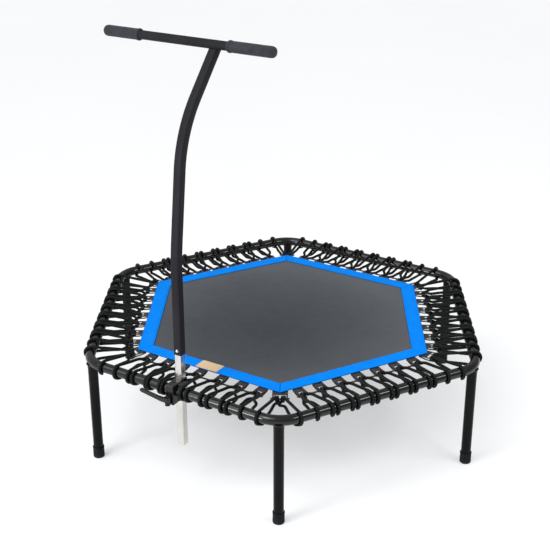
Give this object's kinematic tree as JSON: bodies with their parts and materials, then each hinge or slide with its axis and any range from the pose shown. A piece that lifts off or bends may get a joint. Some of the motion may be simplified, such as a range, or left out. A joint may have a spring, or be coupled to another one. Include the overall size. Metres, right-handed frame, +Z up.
{
  "type": "mini trampoline",
  "caption": "Hexagonal fitness mini trampoline on six legs, bungee-laced mat with blue border and a height-adjustable T-handle.",
  "frame": {"origin": "centre of the hexagon, on the floor", "axes": "+Z up; -Y towards the handle's side; +X along the handlebar, towards its shorter arm"},
  "size_m": [1.2686, 1.1577, 1.2187],
  "materials": {
    "black_paint": "gloss",
    "bright_steel": "satin",
    "zinc_steel": "satin",
    "foot_rubber": "matt",
    "grip_foam": "matt",
    "mat_mesh": "woven",
    "blue_fabric": "woven",
    "webbing": "woven",
    "elastic_cord": "braided",
    "label_fabric": "woven"
  },
  "bodies": {
    "frame": {"frame_tube_1": "black_paint", "frame_tube_2": "black_paint", "frame_tube_3": "black_paint", "frame_tube_4": "black_paint", "frame_tube_5": "black_paint", "frame_tube_6": "black_paint", "leg_1": "black_paint", "leg_2": "black_paint", "leg_3": "black_paint", "leg_4": "black_paint", "leg_5": "black_paint", "leg_6": "black_paint", "foot_1": "foot_rubber", "foot_2": "foot_rubber", "foot_3": "foot_rubber", "foot_4": "foot_rubber", "foot_5": "foot_rubber", "foot_6": "foot_rubber", "bungee_cord_1": "elastic_cord", "bungee_cord_2": "elastic_cord", "bungee_cord_3": "elastic_cord", "bungee_cord_4": "elastic_cord", "bungee_cord_5": "elastic_cord", "bungee_cord_6": "elastic_cord", "clamp_saddle": "black_paint", "clamp_jaw": "black_paint", "clamp_bolt": "zinc_steel", "cam_pin": "zinc_steel", "stem_screw": "zinc_steel"},
    "mat": {"jumping_mat": "mat_mesh", "label_patch": "label_fabric", "border_1": "blue_fabric", "border_2": "blue_fabric", "border_3": "blue_fabric", "border_4": "blue_fabric", "border_5": "blue_fabric", "border_6": "blue_fabric", "tab_strip_1": "webbing", "tab_strip_2": "webbing", "tab_strip_3": "webbing", "tab_strip_4": "webbing", "tab_strip_5": "webbing", "tab_strip_6": "webbing", "edge_wire_1": "black_paint", "edge_wire_2": "black_paint", "edge_wire_3": "black_paint", "edge_wire_4": "black_paint", "edge_wire_5": "black_paint", "edge_wire_6": "black_paint"},
    "handle": {"handle_stem": "bright_steel", "handle_post": "black_paint", "post_screw": "zinc_steel", "handlebar": "black_paint", "grip_left": "grip_foam", "grip_right": "grip_foam"},
    "lever": {"clamp_lever": "black_paint"}
  },
  "joints": [
    {"name": "handle_height", "type": "slide", "parent": "frame", "child": "handle", "axis": [0, 0, 1], "range_m": [-0.07, 0.12]},
    {"name": "lever_turn", "type": "hinge", "parent": "frame", "child": "lever", "pos_m": [-0.0132, -0.5788, 0.29875], "axis": [0, 0, 1], "range_deg": [0, 110]},
    {"name": "mat_bounce", "type": "slide", "parent": "frame", "child": "mat", "axis": [0, 0, 1], "range_m": [-0.15, 0], "stiffness_N_per_m": 8000, "springref_m": 0.004, "deforming": ["bungee_cord_1", "bungee_cord_2", "bungee_cord_3", "bungee_cord_4", "bungee_cord_5", "bungee_cord_6"]}
  ]
}
